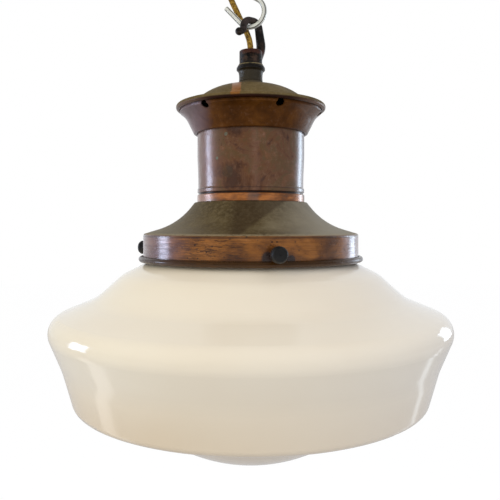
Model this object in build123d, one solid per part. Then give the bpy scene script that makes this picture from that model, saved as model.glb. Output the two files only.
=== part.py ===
from build123d import *
import os
from math import asin, atan2, cos, degrees, hypot, pi, radians, sin, sqrt, tan

# An opaline pendant light: a blown opal glass shade in a spun copper gallery, hung from a wire S-hook.
# Sizes are in millimetres. +Z is up and the front faces -Y. The origin is the point inside the top of
# the S-hook's upper loop, where the light hangs. Heights are worked out downwards from that point.
# Azimuths are in degrees round the axis, 0 at the front and positive to the right.

# Fits
sheet_wall = 0.8
seam_gap = 0.3
hang_gap = 0.3
thread_gap = 0.05
slide_gap = 0.1

# S-hook
s_wire = 4.0
s_loop_radius = 11.2
s_loop_spacing = 26.2
s_tail_length = 18.5
s_tail_climb = 49.0
s_end_chamfer = 0.5
s_azimuth = -20.0

# Suspension hook, cast in one piece with the hollow cap that screws on the threaded tube
hook_azimuth = 35.0
hook_throat = 21.2
hook_stem_radius = 3.6
hook_shoulder_radius = 3.15
hook_arch_radius = 2.7
hook_lip_radius = 2.3
hook_ball_radius = 3.05
hook_root = (6.2, -6.4)
hook_elbow = (10.2, 3.5)
hook_shoulder = 6.7
hook_nose = 6.9
hook_heel = (7.0, 8.9)
hook_tip = (10.9, 10.3)
hook_bends = [14.0, 6.0, 6.0, 3.2]
cap_radius = 8.9
cap_height = 10.4
cap_chamfer = 0.6
cap_bore_depth = 6.6
recess_width = 6.2
recess_height = 3.9
recess_depth = 1.2
recess_drop = 5.2
grub_radius = 2.0
grub_slot = 0.7

# Turned pieces on the threaded tube
tube_radius = 5.0
tube_bore = 3.4
lock_ring_height = 5.9
lock_ring_radius = 11.1
lock_ring_top_radius = 9.3
lock_ring_foot_radius = 9.9
coupler_height = 7.8
coupler_radius = 9.7
coupler_waist_radius = 9.1
seat_height = 3.4
seat_radius = 9.9
dome_washer_radius = 11.5
dome_washer_height = 1.5
dome_nut_flats = 14.0
dome_nut_height = 5.0
tube_clearance = 0.3

# Neck tube
neck_length = 52.5
neck_radius = 41.5
neck_waist_radius = neck_radius - 0.7
neck_foot_radius = neck_radius + 0.1
neck_bead_radius = neck_radius - 0.1
neck_taper_top = 18.5
neck_taper_foot = 35.5
groove_height = 6.3
groove_depth = 1.1
groove_half_width = 1.1
bead_step_height = 3.4

# Dome cap with its brim, rolled over the edge of the vent collar
dome_height = 14.8
dome_seat_radius = 13.0
brim_radius = neck_radius + 16.4
dome_radius = brim_radius - 12.7
dome_crown = (dome_radius - 13.8, 1.5)
dome_bend = 45.0
brim_slope = 3.3
rim_roll_height = 4.3
rim_roll_bend = 2.2
rim_lip_bend = 1.8
rim_lip_overlap = 1.0
rim_lip_radius = brim_radius - 2.5

# Vent collar
collar_height = 18.1
collar_foot_radius = neck_radius + 2.6
collar_waist = (collar_foot_radius + 6.5, 13.2)
collar_top_radius = rim_lip_radius - 0.4
collar_top_drop = 1.7
collar_flare_bend = 17.0
collar_foot_bend = 1.2
vent_count = 6
vent_radius = 3.1
vent_azimuth = 22.5
vent_drop = 1.6

# Gallery: skirt, band and rolled edge, spun in one piece
skirt_height = 24.2
band_radius = 82.7
skirt_shoulder_radius = neck_foot_radius + 1.9
skirt_break = (skirt_shoulder_radius + 0.3265 * (band_radius - skirt_shoulder_radius), 16.2)
skirt_bend = 50.0
band_corner = 1.8
band_height = 20.9
edge_roll_bend = 1.3
edge_roll_gap = 0.4

# Thumb screws that hold the glass by its lip
thumb_azimuth = 11.0
thumb_count = 3
thumb_height = 9.1
thumb_shank_radius = 2.5
thumb_reach = 8.0
thumb_head_radius = 5.5
thumb_head_height = 7.0
thumb_hole_gap = 0.2
thumb_nut_width = 9.0
thumb_nut_thickness = 3.4

# Glass shade: radii, and drops below the gallery's lower edge
glass_wall = 3.2
glass_neck_radius = band_radius - 7.7
glass_lip_radius = glass_neck_radius + 2.8
glass_lip_height = 6.0
glass_throat_drop = -1.6
glass_shoulder = (glass_neck_radius + 23.0, 9.6)
glass_waist = (glass_shoulder[0] + 20.1, 27.7)
glass_rim = (glass_waist[0] + 36.2, 42.5)
glass_side = (glass_rim[0] - 13.2, 74.3)
glass_foot = (glass_side[0] - 8.1, 103.0)
glass_well_drop = 112.0
glass_depth = 150.5
bulge_radius = 122.0
bulge_slope = 40.0
throat_bend = 5.0
shoulder_bend = 23.5
waist_bend = 31.0
rim_bend = 12.2
side_bend = 63.0
foot_bend = 6.2
well_bend = 10.0

# Bayonet lampholder, round the bulb's cap and by heights above its mouth
bulb_cap_radius = 11.0
barrel_bore = bulb_cap_radius + 0.25
barrel_radius = barrel_bore + 2.75
shell_radius = barrel_radius + 1.2
shell_bore = shell_radius - 1.5
flange_radius = shell_radius + 1.1
holder_drop = 77.4
holder_height = 54.0
holder_entry_radius = 7.5
holder_entry_height = 8.0
holder_thread_depth = 7.5
holder_cap_radius = flange_radius + 0.2
holder_cap_wall = 1.9
holder_cap_foot = 30.3
holder_dome_foot = 36.5
ring_radius = holder_cap_radius + 1.9
ring_foot = 25.5
ring_ledge = 28.5
ring_top = 36.0
ring_lip_radius = shell_radius + 0.2
flange_foot = 28.8
flange_top = 30.0
barrel_top = 19.7
barrel_step = 19.0
shade_ring_radius = barrel_radius + 5.0
shade_ring_height = 6.0
shade_ring_bore_gap = 0.1
insulator_radius = shell_bore - seam_gap
insulator_foot = 20.0
insulator_top = 34.0
terminal_spacing = 9.0
terminal_width = 4.6
terminal_height = 4.5
terminal_bore = 1.1
terminal_screw_radius = 1.2
contact_spacing = 10.4
plunger_radius = 1.85
plunger_head_radius = 2.3
plunger_head_height = 2.5
plunger_head_foot = 23.0
plunger_shoulder = 21.5
plunger_bore_top = 32.0
spring_wire = 0.45
spring_radius = 1.7
spring_turns = 6
slot_width = 2.4
slot_depth = 2.25
slot_turn = 22.0
pin_clearance = 0.2
bulb_travel = 2.0

# Bulb
bulb_face = 15.0
bulb_cap_length = 25.0
bulb_cap_wall = 0.5
bulb_pin_radius = 1.0
bulb_pin_drop = 7.0
bulb_pin_reach = bulb_cap_radius + 2.3
bulb_pad_radius = 2.2
bulb_pad_height = 0.6
bulb_length = 105.0
bulb_radius = 30.0
bulb_neck_radius = bulb_cap_radius - 0.6
bulb_throat = (bulb_neck_radius + 2.1, 42.4)
bulb_throat_bend = 25.0
bulb_shoulder_slope = 51.8
bulb_wall = 0.8
stem_radius = 3.5
stem_length = 24.0
filament_wire = 0.7
filament_spread = 11.0
filament_drop = 25.0

# Flex: the stretch in the tube, its two cores, and the free stretch above the cap
flex_radius = 2.3
flex_hole_gap = 0.5
flex_mouth = 1.0
flex_entry_depth = 4.7
core_radius = 0.9
core_spread = 1.05
core_strip = 10.0
wire_radius = 0.45
wire_strip = 6.0
flex_route = [
    (0.0, 0.0, -70.6),
    (0.0, 0.0, -60.6),
    (-3.2, 4.9, -49.6),
    (-6.6, 9.9, -41.6),
    (-10.8, 12.4, -31.6),
    (-15.2, 13.8, -22.1),
    (-18.2, 14.3, -14.1),
]
lead_rise = 4.0
lead_inset = 3.0

# Heights that follow from the stack
s_top_centre_z = -(s_loop_radius - s_wire / 2)
s_middle_z = s_top_centre_z - s_loop_spacing / 2
s_low_centre_z = s_top_centre_z - s_loop_spacing
pivot_z = s_low_centre_z - s_loop_radius
throat_z = pivot_z + s_wire / 2 + hang_gap
arch_z = throat_z + hook_arch_radius
cap_top_z = throat_z - hook_throat
cap_foot_z = cap_top_z - cap_height
lock_ring_foot_z = cap_foot_z - lock_ring_height
coupler_foot_z = lock_ring_foot_z - coupler_height
dome_top_z = coupler_foot_z - seat_height
crease_z = dome_top_z - dome_height
brim_edge_z = crease_z - (brim_radius - dome_radius) * tan(radians(brim_slope))
rim_foot_z = brim_edge_z - rim_roll_height
collar_foot_z = rim_foot_z - collar_height
collar_flange_z = rim_foot_z + sheet_wall + seam_gap
neck_top_z = collar_foot_z + sheet_wall + seam_gap
neck_foot_z = collar_foot_z - neck_length
shoulder_z = neck_foot_z - seam_gap
band_top_z = shoulder_z - skirt_height
gallery_foot_z = band_top_z - band_height
thumb_z = gallery_foot_z + thumb_height
lip_foot_z = thumb_z + thumb_shank_radius + seam_gap
glass_top_z = lip_foot_z + glass_lip_height
glass_foot_z = gallery_foot_z - glass_depth
holder_top_z = dome_top_z - holder_drop
holder_mouth_z = holder_top_z - holder_height
tube_top_z = cap_foot_z + cap_bore_depth - tube_clearance
tube_foot_z = holder_top_z - holder_thread_depth
flex_join_z = cap_top_z - flex_entry_depth
cores_z = tube_foot_z + lead_inset

# Radii that follow from the fits
tube_hole = tube_radius + thread_gap
flex_hole = flex_radius + flex_hole_gap
gallery_collar_radius = neck_bead_radius - sheet_wall - seam_gap


def direction(azimuth):
    """The outward direction at an azimuth."""
    return Vector(sin(radians(azimuth)), -cos(radians(azimuth)), 0)


def radial_plane(azimuth, radius, height):
    """A plane that faces outwards at an azimuth, with its local Y upwards."""
    outward = direction(azimuth)
    return Plane(
        origin=outward * radius + Vector(0, 0, height),
        x_dir=direction(azimuth + 90),
        z_dir=outward,
    )


def upright(azimuth):
    """The vertical plane through the axis whose local X points to an azimuth."""
    outward = direction(azimuth)
    return Plane(origin=(0, 0, 0), x_dir=outward, z_dir=outward.cross(Vector(0, 0, 1)))


def turned(*outline):
    """A solid turned round the axis, from the corners (radius, height) of its section."""
    return revolve(upright(90) * make_face(Polyline(*outline, close=True)), Axis.Z)


def turned_soft(corners, bends):
    """A turned solid whose section closes on the axis and has a bend at each inner corner."""
    outline = FilletPolyline(*corners, radius=bends)
    closing = Polyline(corners[-1], corners[0])
    return revolve(upright(90) * make_face(outline.edges() + closing.edges()), Axis.Z)


def spun(corners, bends, wall, side):
    """A sheet spun round the axis: the outer line of its section is thickened towards one side."""
    outline = FilletPolyline(*corners, radius=bends)
    section = make_face(offset(outline, amount=wall, side=side, closed=True).edges())
    return revolve(upright(90) * section, Axis.Z)


def rod(path, radius):
    """A round rod along a path."""
    section = Plane(origin=path @ 0, z_dir=path % 0) * Circle(radius)
    return sweep(section, path=path)


def lowest_bends(points):
    """The largest bend that each inner corner of a route allows."""
    corners = [Vector(*point) for point in points]
    bends = []
    for before, corner, after in zip(corners, corners[1:], corners[2:]):
        run_in = corner - before
        run_out = after - corner
        turn = radians(run_in.get_angle(run_out))
        bends.append(0.45 * min(run_in.length, run_out.length) / tan(turn / 2))
    return bends


def report_cord(name, solid, path, radius, bends):
    """Print a cord's bends, and its volume against its section times its length."""
    share = solid.volume / (pi * radius**2 * path.length)
    smallest = ", ".join(f"{bend:.1f}" for bend in bends)
    print(f"{name}: length {path.length:.1f} mm, bends {smallest} mm, volume share {share:.4f}")


def s_hook():
    """A wire S-hook: two loops joined by a straight crossing, each with an open straight tail."""
    half = s_loop_spacing / 2
    cross_angle = degrees(asin(s_loop_radius / half))
    sweep_angle = cross_angle + 180 - s_tail_climb + 6
    leave_angle = cross_angle - sweep_angle
    low_centre = Vector(0, -half)
    crossing = Vector(s_loop_radius * cos(radians(cross_angle)), s_loop_radius * sin(radians(cross_angle)))
    leaving = Vector(s_loop_radius * cos(radians(leave_angle)), s_loop_radius * sin(radians(leave_angle)))
    heading = Vector(sin(radians(leave_angle)), -cos(radians(leave_angle)))
    tail_foot = low_centre + leaving
    tail = Line(tail_foot + heading * s_tail_length, tail_foot)
    loop = CenterArc(low_centre, s_loop_radius, leave_angle, sweep_angle)
    lower = Wire((tail + loop).edges())
    cross = Line(low_centre + crossing, -(low_centre + crossing))
    upper = lower.rotate(Axis.Z, 180)
    wire = Wire(lower.edges() + cross.edges() + upper.edges())
    placed = upright(90 + s_azimuth) * wire
    placed = Pos(0, 0, s_middle_z) * placed
    hook = rod(placed, s_wire / 2)
    ends = [face.edges()[0] for face in hook.faces().filter_by(GeomType.PLANE)]
    return chamfer(ends, s_end_chamfer)


def hook_path():
    """The centre line of the suspension hook, from inside the cap's wall to the middle of its ball."""
    root = (hook_root[0], cap_top_z + hook_root[1])
    elbow = (hook_elbow[0], cap_top_z + hook_elbow[1])
    shoulder = (hook_shoulder, arch_z)
    nose = (-hook_nose, arch_z)
    heel = (-hook_heel[0], arch_z - hook_heel[1])
    tip = (-hook_tip[0], arch_z - hook_tip[1])
    return upright(90 + hook_azimuth) * FilletPolyline(root, elbow, shoulder, nose, heel, tip, radius=hook_bends)


def tapered_rod(path, first_radius, last_radius):
    """A round rod along one edge, which tapers from its first radius to its last."""
    first = Plane(origin=path @ 0, z_dir=path % 0) * Circle(first_radius)
    last = Plane(origin=path @ 1, z_dir=path % 1) * Circle(last_radius)
    return sweep([first, last], path=path, multisection=True)


def suspension_hook():
    """The cast hook with its hollow cap, which has a flex hole above and a thread for the tube below."""
    path = hook_path()
    foot, elbow, stem, shoulder, arch, bend, nose, heel, lip = path.edges()
    hook = rod(Wire([foot, elbow]), hook_stem_radius)
    hook += tapered_rod(stem, hook_stem_radius, hook_shoulder_radius)
    hook += tapered_rod(shoulder, hook_shoulder_radius, hook_arch_radius)
    hook += rod(Wire([arch, bend, nose, heel]), hook_arch_radius)
    hook += tapered_rod(lip, hook_arch_radius, hook_lip_radius)
    hook += Pos(*(path @ 1)) * Sphere(hook_ball_radius)
    hook += Pos(*(path @ 0)) * Sphere(hook_stem_radius)
    chamfer_radius = cap_radius - cap_chamfer
    hook += turned(
        (0, cap_foot_z),
        (cap_radius, cap_foot_z),
        (cap_radius, cap_top_z - cap_chamfer),
        (chamfer_radius, cap_top_z),
        (0, cap_top_z),
    )
    hook -= turned(
        (0, cap_foot_z),
        (tube_hole, cap_foot_z),
        (tube_hole, cap_foot_z + cap_bore_depth),
        (flex_hole, cap_foot_z + cap_bore_depth),
        (flex_hole, cap_top_z - flex_mouth),
        (flex_hole + flex_mouth, cap_top_z),
        (0, cap_top_z),
    )
    floor = radial_plane(0, cap_radius - recess_depth, cap_top_z - recess_drop)
    recess = SlotOverall(recess_width, recess_height)
    hook -= floor * extrude(recess, 2 * recess_depth)
    hook -= radial_plane(0, 0, cap_top_z - recess_drop) * Cylinder(
        grub_radius + thread_gap, cap_radius, align=(Align.CENTER, Align.CENTER, Align.MIN)
    )
    return hook


def hook_grub_screw():
    """The slotted grub screw that locks the suspension hook on the threaded tube."""
    length = cap_radius - recess_depth - tube_radius - 2 * thread_gap
    screw = Cylinder(grub_radius, length, align=(Align.CENTER, Align.CENTER, Align.MIN))
    screw -= Pos(0, 0, length) * Box(2 * grub_radius, grub_slot, 2 * grub_slot)
    return radial_plane(0, tube_radius + thread_gap, cap_top_z - recess_drop) * screw


def lock_ring():
    """The bevelled ring nut under the suspension hook's cap."""
    bevel_z = cap_foot_z - 0.53 * lock_ring_height
    foot_bevel_z = lock_ring_foot_z + 0.2 * lock_ring_height
    return turned(
        (tube_hole, cap_foot_z),
        (lock_ring_top_radius, cap_foot_z),
        (lock_ring_radius, bevel_z),
        (lock_ring_radius, foot_bevel_z),
        (lock_ring_foot_radius, lock_ring_foot_z),
        (tube_hole, lock_ring_foot_z),
    )


def coupler():
    """The waisted sleeve between the ring nut and the dome."""
    top = (coupler_radius, lock_ring_foot_z)
    waist = (coupler_waist_radius, lock_ring_foot_z - 0.6 * coupler_height)
    foot = (coupler_waist_radius + 0.2, coupler_foot_z)
    side = ThreePointArc(top, waist, foot)
    rest = Polyline(foot, (tube_hole, coupler_foot_z), (tube_hole, lock_ring_foot_z), top)
    return revolve(upright(90) * make_face(side.edges() + rest.edges()), Axis.Z)


def seat_washer():
    """The thick washer that seats the coupler on the dome."""
    bevel = 0.3 * seat_height
    return turned(
        (tube_hole, coupler_foot_z),
        (seat_radius - bevel, coupler_foot_z),
        (seat_radius, coupler_foot_z - bevel),
        (seat_radius, dome_top_z),
        (tube_hole, dome_top_z),
    )


def threaded_tube():
    """The hollow threaded tube that carries the lampholder and lets the flex through."""
    return turned(
        (tube_bore, tube_foot_z),
        (tube_radius, tube_foot_z),
        (tube_radius, tube_top_z),
        (tube_bore, tube_top_z),
    )


def dome_cap():
    """The domed top with its sloping brim, rolled down and in at the edge."""
    corners = [
        (tube_hole + seam_gap, dome_top_z),
        (dome_seat_radius, dome_top_z),
        (dome_crown[0], dome_top_z - dome_crown[1]),
        (dome_radius, crease_z),
        (brim_radius, brim_edge_z),
        (brim_radius, rim_foot_z),
        (rim_lip_radius, rim_foot_z),
    ]
    bends = [20.0, dome_bend, 2.0, rim_roll_bend, rim_lip_bend]
    return spun(corners, bends, sheet_wall, Side.RIGHT)


def dome_washer():
    """The flat washer under the dome."""
    top = dome_top_z - sheet_wall
    return turned(
        (tube_hole, top),
        (dome_washer_radius, top),
        (dome_washer_radius, top - dome_washer_height),
        (tube_hole, top - dome_washer_height),
    )


def dome_nut():
    """The hexagon nut that clamps the dome between its washers."""
    top = dome_top_z - sheet_wall - dome_washer_height
    hexagon = RegularPolygon(dome_nut_flats / 2, 6, major_radius=False) - Circle(tube_hole)
    return Pos(0, 0, top - dome_nut_height) * extrude(hexagon, dome_nut_height)


def vent_collar():
    """The flared collar with its ring of vent holes, hooked in the rolled edge of the brim."""
    flange_radius_outer = rim_lip_radius + rim_lip_overlap
    lip_hole = neck_radius + 2 * seam_gap
    corners = [
        (lip_hole, collar_foot_z),
        (collar_foot_radius, collar_foot_z),
        (collar_waist[0], collar_foot_z + collar_waist[1]),
        (collar_top_radius, rim_foot_z - collar_top_drop),
        (collar_top_radius, collar_flange_z),
        (flange_radius_outer, collar_flange_z),
    ]
    bends = [collar_foot_bend, collar_flare_bend, sheet_wall, sheet_wall]
    collar = spun(corners, bends, sheet_wall, Side.LEFT)
    rise = corners[3][1] - corners[2][1]
    reach = corners[3][0] - corners[2][0]
    flare_length = hypot(rise, reach)
    share = vent_drop / flare_length
    centre_radius = collar_top_radius - share * reach
    centre_z = corners[3][1] - share * rise
    punch = Cylinder(vent_radius, 8 * sheet_wall)
    for index in range(vent_count):
        place = radial_plane(vent_azimuth + index * 360 / vent_count, centre_radius, centre_z)
        collar -= place * Rot(degrees(atan2(reach, rise)), 0, 0) * punch
    return collar


def neck_tube():
    """The slightly waisted neck, flanged at the top and swaged round the gallery's collar below."""
    groove_z = neck_foot_z + groove_height
    corners = [
        (collar_foot_radius - sheet_wall, neck_top_z),
        (neck_radius, neck_top_z),
        (neck_radius, neck_top_z - neck_taper_top),
        (neck_waist_radius, neck_top_z - neck_taper_foot),
        (neck_waist_radius, groove_z + bead_step_height + 1.0),
        (neck_bead_radius, groove_z + bead_step_height),
        (neck_bead_radius, groove_z + groove_half_width),
        (neck_bead_radius - groove_depth, groove_z),
        (neck_foot_radius, groove_z - groove_half_width),
        (neck_foot_radius, neck_foot_z),
    ]
    bends = [sheet_wall, 150.0, 150.0, 0.8, 0.8, 0.2, 0.3, 0.9]
    return spun(corners, bends, sheet_wall, Side.RIGHT)


def gallery():
    """The spun gallery: a grooved collar inside the neck, an ogee skirt, the band and its rolled edge."""
    groove_z = neck_foot_z + groove_height
    groove_reach = groove_half_width + (sheet_wall + seam_gap) * tan(radians(22.5))
    collar = gallery_collar_radius
    roll_radius = edge_roll_bend + sheet_wall
    roll_z = gallery_foot_z + roll_radius
    corners = [
        (collar, groove_z + groove_reach + 1.0),
        (collar, groove_z + groove_reach),
        (collar - groove_reach, groove_z),
        (collar, groove_z - groove_reach),
        (collar, shoulder_z),
        (skirt_shoulder_radius, shoulder_z),
        (skirt_break[0], shoulder_z - skirt_break[1]),
        (band_radius, band_top_z),
        (band_radius, roll_z),
    ]
    bends = [0.9, 0.8, 0.9, 0.9, 1.0, skirt_bend, band_corner]
    body = spun(corners, bends, sheet_wall, Side.RIGHT)
    roll = Pos(band_radius + edge_roll_bend, roll_z) * (Circle(roll_radius) - Circle(edge_roll_bend))
    crack = Pos(band_radius + edge_roll_gap / 2, roll_z + roll_radius) * Rectangle(edge_roll_gap, 2 * roll_radius)
    body += revolve(upright(90) * (roll - crack), Axis.Z)
    hole = Cylinder(thumb_shank_radius + thumb_hole_gap, 4 * sheet_wall)
    for index in range(thumb_count):
        azimuth = thumb_azimuth + index * 360 / thumb_count
        body -= radial_plane(azimuth, band_radius - sheet_wall / 2, thumb_z) * hole
    return body


def thumb_screw(azimuth):
    """A thumb screw with a domed head, its tip under the lip of the glass."""
    tip_radius = glass_neck_radius + seam_gap
    shank_length = band_radius + thumb_reach - tip_radius
    top = shank_length + thumb_head_height
    tip_chamfer = 0.3 * thumb_shank_radius
    corners = [
        (0, 0),
        (thumb_shank_radius - tip_chamfer, 0),
        (thumb_shank_radius, tip_chamfer),
        (thumb_shank_radius, shank_length),
        (0.82 * thumb_head_radius, shank_length),
        (thumb_head_radius, shank_length + 0.16 * thumb_head_height),
        (thumb_head_radius, shank_length + 0.70 * thumb_head_height),
        (0.80 * thumb_head_radius, top - 0.06 * thumb_head_height),
        (0, top),
    ]
    bends = [0.1, 0.1, 0.2, 0.3, 0.3, 1.0, 0.8]
    return radial_plane(azimuth, tip_radius, thumb_z) * turned_soft(corners, bends)


def thumb_screw_nuts():
    """The three square nuts inside the band."""
    face_radius = sqrt((band_radius - sheet_wall - 2 * thread_gap) ** 2 - (thumb_nut_width / 2) ** 2)
    blank = Rectangle(thumb_nut_width, thumb_nut_width) - Circle(thumb_shank_radius + thread_gap)
    nut = extrude(blank, -thumb_nut_thickness)
    azimuths = [thumb_azimuth + index * 360 / thumb_count for index in range(thumb_count)]
    return Compound(children=[radial_plane(azimuth, face_radius, thumb_z) * nut for azimuth in azimuths])


def glass_outline():
    """The corners and bends of the shade's outer line, from its mouth to the middle of its bulge."""
    bulge_corner = bulge_radius * tan(radians(bulge_slope / 2))
    well_radius = bulge_corner + (glass_depth - glass_well_drop) / tan(radians(bulge_slope))
    drops = [
        (glass_neck_radius, glass_throat_drop),
        glass_shoulder,
        glass_waist,
        glass_rim,
        glass_side,
        glass_foot,
        (well_radius, glass_well_drop),
        (bulge_corner, glass_depth),
        (0, glass_depth),
    ]
    corners = [(glass_neck_radius, glass_top_z)]
    corners += [(radius, gallery_foot_z - drop) for radius, drop in drops]
    bends = [throat_bend, shoulder_bend, waist_bend, rim_bend, side_bend, foot_bend, well_bend, 0.98 * bulge_radius]
    return corners, bends


def glass_shade():
    """The blown shade, with a ground lip that rests on the thumb screws."""
    corners, bends = glass_outline()
    shade = spun(corners, bends, glass_wall, Side.RIGHT)
    lip_width = glass_lip_radius - glass_neck_radius + glass_wall
    lip = Pos(glass_lip_radius - lip_width / 2, lip_foot_z + glass_lip_height / 2) * RectangleRounded(
        lip_width, glass_lip_height, 0.3 * glass_lip_height
    )
    return shade + revolve(upright(90) * lip, Axis.Z)


def up(height):
    """A height above the lampholder's mouth."""
    return holder_mouth_z + height


def holder_cap():
    """The lampholder's cap, with the threaded entry for the tube."""
    entry_z = holder_top_z - holder_entry_height
    inner = holder_cap_radius - holder_cap_wall
    outer_corners = [
        (0, up(holder_cap_foot)),
        (holder_cap_radius, up(holder_cap_foot)),
        (holder_cap_radius, up(holder_dome_foot)),
        (holder_entry_radius, entry_z),
        (holder_entry_radius, holder_top_z),
        (0, holder_top_z),
    ]
    inner_corners = [
        (0, up(holder_cap_foot)),
        (inner, up(holder_cap_foot)),
        (inner, up(holder_dome_foot) - 0.4 * holder_cap_wall),
        (tube_hole, entry_z - holder_cap_wall),
        (0, entry_z - holder_cap_wall),
    ]
    body = turned_soft(outer_corners, [0.3, 6.0, 3.0, 0.6])
    body -= turned_soft(inner_corners, [0.0, 4.0, 0.0])
    return body - turned(
        (0, entry_z - 2 * holder_cap_wall),
        (tube_hole, entry_z - 2 * holder_cap_wall),
        (tube_hole, holder_top_z),
        (0, holder_top_z),
    )


def holder_cap_ring():
    """The ring nut that draws the lampholder's shell up to its cap."""
    bore = holder_cap_radius + thread_gap
    return turned(
        (bore, up(ring_top)),
        (ring_radius - 0.8, up(ring_top)),
        (ring_radius, up(ring_top) - 0.8),
        (ring_radius, up(ring_foot) + 0.8),
        (ring_radius - 0.8, up(ring_foot)),
        (ring_lip_radius, up(ring_foot)),
        (ring_lip_radius, up(ring_ledge)),
        (bore, up(ring_ledge)),
    )


def bayonet_slot(azimuth):
    """The J-shaped slot for one bulb pin: its way in, its turn and the pocket where the pin rests."""
    pin_z = bulb_face - bulb_pin_drop
    pocket_foot = pin_z - bulb_pin_radius - pin_clearance
    slot_top = pin_z + bulb_travel + bulb_pin_radius + pin_clearance
    middle = barrel_bore + slot_depth / 2 - 0.5
    depth = slot_depth + 1.0

    def upright_groove(at, low, high):
        groove = Box(slot_width, high - low, depth)
        return radial_plane(at, middle, up((low + high) / 2)) * groove

    cross = Pos(middle, up(slot_top - slot_width / 2)) * Rectangle(depth, slot_width)
    bow = revolve(upright(azimuth) * cross, Axis.Z, revolution_arc=slot_turn)
    slot = bow + upright_groove(azimuth, pocket_foot, slot_top)
    return slot + upright_groove(azimuth + slot_turn, -1, slot_top)


def holder_shell():
    """The lampholder's shell, with the bayonet slots in its barrel."""
    shell = turned(
        (barrel_bore, up(0)),
        (barrel_radius, up(0)),
        (barrel_radius, up(barrel_step)),
        (shell_radius, up(barrel_step)),
        (shell_radius, up(flange_foot)),
        (flange_radius, up(flange_foot)),
        (flange_radius, up(flange_top)),
        (shell_bore, up(flange_top)),
        (shell_bore, up(barrel_top)),
        (barrel_bore, up(barrel_top)),
    )
    for azimuth in (90, 270):
        shell -= bayonet_slot(azimuth)
    return shell


def shade_ring():
    """The ring nut on the lampholder's barrel."""
    bore = barrel_radius + shade_ring_bore_gap
    top = up(barrel_step) - seam_gap
    foot = top - shade_ring_height
    edge = 0.2 * shade_ring_height
    return turned(
        (bore, top),
        (shade_ring_radius - edge, top),
        (shade_ring_radius, top - edge),
        (shade_ring_radius, foot + edge),
        (shade_ring_radius - edge, foot),
        (bore, foot),
    )


def at_contacts(piece, spacing):
    """A piece on each side of the axis."""
    return [Pos(side * spacing / 2, 0, 0) * piece for side in (-1, 1)]


def holder_insulator():
    """The porcelain core of the lampholder, bored for the two plungers."""
    core = turned_soft(
        [
            (0, up(insulator_foot)),
            (insulator_radius, up(insulator_foot)),
            (insulator_radius, up(insulator_top)),
            (0, up(insulator_top)),
        ],
        [0.6, 0.6],
    )
    mouth = turned(
        (0, up(insulator_foot) - 1),
        (plunger_radius + slide_gap, up(insulator_foot) - 1),
        (plunger_radius + slide_gap, up(plunger_shoulder)),
        (plunger_head_radius + slide_gap, up(plunger_shoulder)),
        (plunger_head_radius + slide_gap, up(plunger_bore_top)),
        (0, up(plunger_bore_top)),
    )
    for bore in at_contacts(mouth, contact_spacing):
        core -= bore
    return core


def terminal_block():
    """One terminal block, with a hole for its core and one for its screw."""
    foot = up(insulator_top)
    block = Box(terminal_width, terminal_width, terminal_height, align=(Align.CENTER, Align.CENTER, Align.MIN))
    block = Pos(0, 0, foot) * block
    block -= Pos(0, 0, foot + terminal_height) * Cylinder(terminal_bore, terminal_height)
    screw_hole = Cylinder(
        terminal_screw_radius + thread_gap, terminal_width, align=(Align.CENTER, Align.CENTER, Align.MIN)
    )
    return block - radial_plane(0, 0, foot + 0.7 * terminal_height) * screw_hole


def holder_terminals():
    """The two terminal blocks on top of the insulator."""
    return Compound(children=at_contacts(terminal_block(), terminal_spacing))


def terminal_screws():
    """The two slotted screws that clamp the cores in their blocks."""
    reach = terminal_bore + thread_gap
    head = Pos(0, 0, terminal_width / 2) * Cylinder(
        1.5 * terminal_screw_radius, 1.2, align=(Align.CENTER, Align.CENTER, Align.MIN)
    )
    shank = Pos(0, 0, reach) * Cylinder(
        terminal_screw_radius, terminal_width / 2 - reach, align=(Align.CENTER, Align.CENTER, Align.MIN)
    )
    slot = Pos(0, 0, terminal_width / 2 + 1.2) * Box(4 * terminal_screw_radius, 0.5, 1.0)
    screw = radial_plane(0, 0, up(insulator_top) + 0.7 * terminal_height) * (head + shank - slot)
    return Compound(children=at_contacts(screw, terminal_spacing))


def plunger(side):
    """A contact plunger, pressed on the bulb's contact by its spring."""
    face = up(bulb_face)
    body = turned_soft(
        [
            (0, face),
            (plunger_radius, face),
            (plunger_radius, up(plunger_head_foot)),
            (plunger_head_radius, up(plunger_head_foot)),
            (plunger_head_radius, up(plunger_head_foot + plunger_head_height)),
            (0, up(plunger_head_foot + plunger_head_height)),
        ],
        [0.4, 0.1, 0.1, 0.3],
    )
    return Pos(side * contact_spacing / 2, 0, 0) * body


def helix_point(radius, pitch, turn):
    """A point on a helix after so many turns, and the way it heads there."""
    angle = 2 * pi * turn
    point = Vector(radius * cos(angle), radius * sin(angle), pitch * turn)
    heading = Vector(-2 * pi * radius * sin(angle), 2 * pi * radius * cos(angle), pitch)
    return point, heading.normalized()


def biarc(start, start_heading, end, end_heading):
    """Two arcs that join two points smoothly, each keeping the heading at its own end."""
    chord = end - start
    headings = start_heading + end_heading
    square = 2 * (1 - start_heading.dot(end_heading))
    half = chord.dot(headings)
    reach = (-half + sqrt(half**2 + square * chord.dot(chord))) / square
    middle = (start + end + (start_heading - end_heading) * reach) / 2
    first = TangentArc(start, middle, tangent=start_heading)
    last = TangentArc(middle, end, tangent=first % 1)
    return first.edges() + last.edges()


def plunger_spring(side):
    """A coil spring above a plunger, as one wire of quarter-turn biarcs."""
    foot = up(plunger_head_foot + plunger_head_height)
    height = up(plunger_bore_top) - foot - spring_wire - 2 * thread_gap
    pitch = height / spring_turns
    stations = [helix_point(spring_radius, pitch, quarter / 4) for quarter in range(4 * spring_turns + 1)]
    edges = []
    for (start, start_heading), (end, end_heading) in zip(stations, stations[1:]):
        edges += biarc(start, start_heading, end, end_heading)
    coil = rod(Wire(edges), spring_wire / 2)
    print(f"plunger spring: least gap between turns {pitch - spring_wire:.2f} mm")
    return Pos(side * contact_spacing / 2, 0, foot + spring_wire / 2 + thread_gap) * coil


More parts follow.
